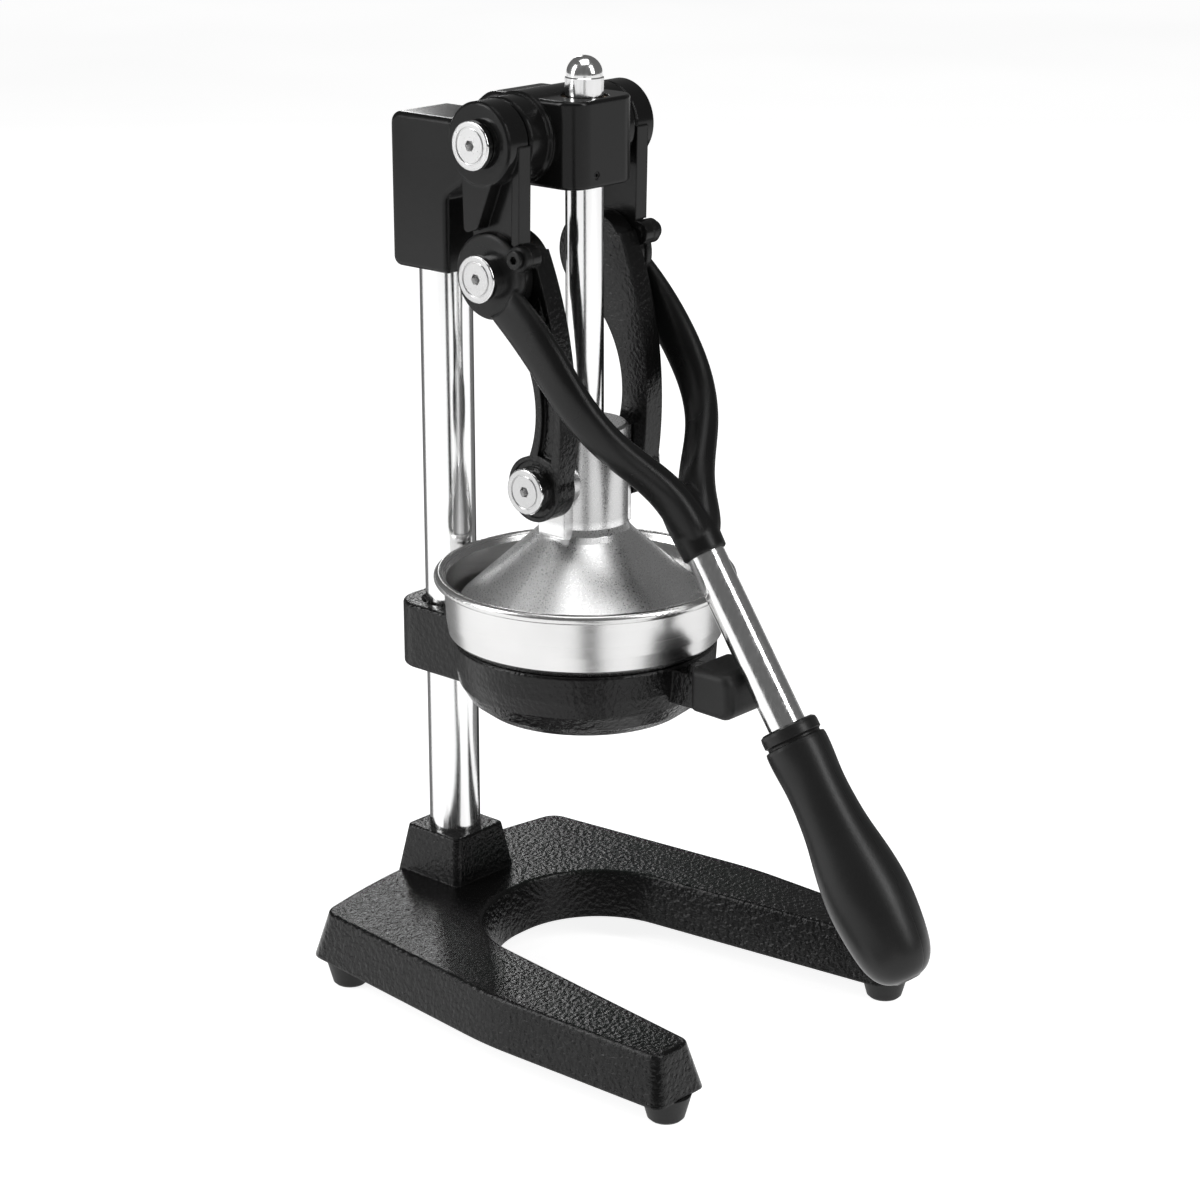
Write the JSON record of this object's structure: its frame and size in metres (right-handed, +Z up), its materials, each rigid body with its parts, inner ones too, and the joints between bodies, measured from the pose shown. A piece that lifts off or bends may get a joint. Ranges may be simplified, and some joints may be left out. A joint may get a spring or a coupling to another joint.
{
  "type": "citrus press juicer",
  "caption": "Hand-lever citrus press: forked lever and rods drive a vertical plunger cone into a steel bowl on a cast U-shaped base.",
  "frame": {"origin": "centre of the whole press in plan, at the underside of its feet", "axes": "+Z up along the column, +X across the press along the lever pivots, -Y towards the handle"},
  "size_m": [0.1788, 0.274, 0.395],
  "materials": {
    "hammered_black_paint": "hammered gloss",
    "gloss_black_paint": "smooth gloss",
    "chrome_plate": "polished",
    "brushed_stainless": "brushed",
    "cast_aluminium": "satin",
    "black_grip_rubber": "matte",
    "black_rubber": "matte",
    "bronze_bush": "machined",
    "zinc_plated_steel": "satin"
  },
  "bodies": {
    "stand": {"base_casting": "hammered_black_paint", "bowl": "brushed_stainless", "bowl_holder": "hammered_black_paint", "bumper": "black_rubber", "bumper_screw": "zinc_plated_steel", "column_bolt": "zinc_plated_steel", "column_plug": "zinc_plated_steel", "column_tube": "chrome_plate", "column_washer": "zinc_plated_steel", "foot_front_left": "black_rubber", "foot_front_right": "black_rubber", "foot_rear_left": "black_rubber", "foot_rear_right": "black_rubber", "foot_screw_front_left": "zinc_plated_steel", "foot_screw_front_right": "zinc_plated_steel", "foot_screw_rear_left": "zinc_plated_steel", "foot_screw_rear_right": "zinc_plated_steel", "guide_bush": "bronze_bush", "guide_screw": "zinc_plated_steel", "head_cap_screw_left": "chrome_plate", "head_cap_screw_right": "chrome_plate", "head_casting": "gloss_black_paint", "head_set_screw": "zinc_plated_steel", "holder_set_screw": "zinc_plated_steel", "pivot_axle": "zinc_plated_steel", "reamer": "cast_aluminium", "strainer": "brushed_stainless"},
    "lever": {"yoke": "gloss_black_paint", "handle_tube": "chrome_plate", "handle_pin": "zinc_plated_steel", "grip": "black_grip_rubber", "lever_cap_screw_left": "chrome_plate", "lever_cap_screw_right": "chrome_plate", "link_lock_screw_left": "gloss_black_paint", "link_lock_screw_right": "gloss_black_paint", "upper_link_left": "gloss_black_paint", "upper_link_right": "gloss_black_paint"},
    "connecting_rods": {"connecting_rod_left": "hammered_black_paint", "connecting_rod_right": "hammered_black_paint", "rod_cap_screw_left": "chrome_plate", "rod_cap_screw_right": "chrome_plate"},
    "plunger": {"plunger_shaft": "chrome_plate", "dome_cap": "chrome_plate", "press_cone": "cast_aluminium", "cone_screw": "zinc_plated_steel"}
  },
  "joints": [
    {"name": "lever_swing", "type": "hinge", "parent": "stand", "child": "lever", "pos_m": [0, 0.05493, 0.3636], "axis": [-1, 0, 0], "range_deg": [0, 125]},
    {"name": "rod_swing", "type": "hinge", "parent": "lever", "child": "connecting_rods", "pos_m": [0, 0.05353, 0.3115], "axis": [1, 0, 0], "range_deg": [0, 152.04]},
    {"name": "plunger_slide", "type": "slide", "parent": "stand", "child": "plunger", "axis": [0, 0, 1], "range_m": [0, 0.0856]}
  ],
  "couplings": [
    {"joint": "rod_swing", "follows": "lever_swing", "ratio": 1.2159},
    {"joint": "plunger_slide", "follows": "lever_swing", "m_per_rad": 0.039168}
  ]
}
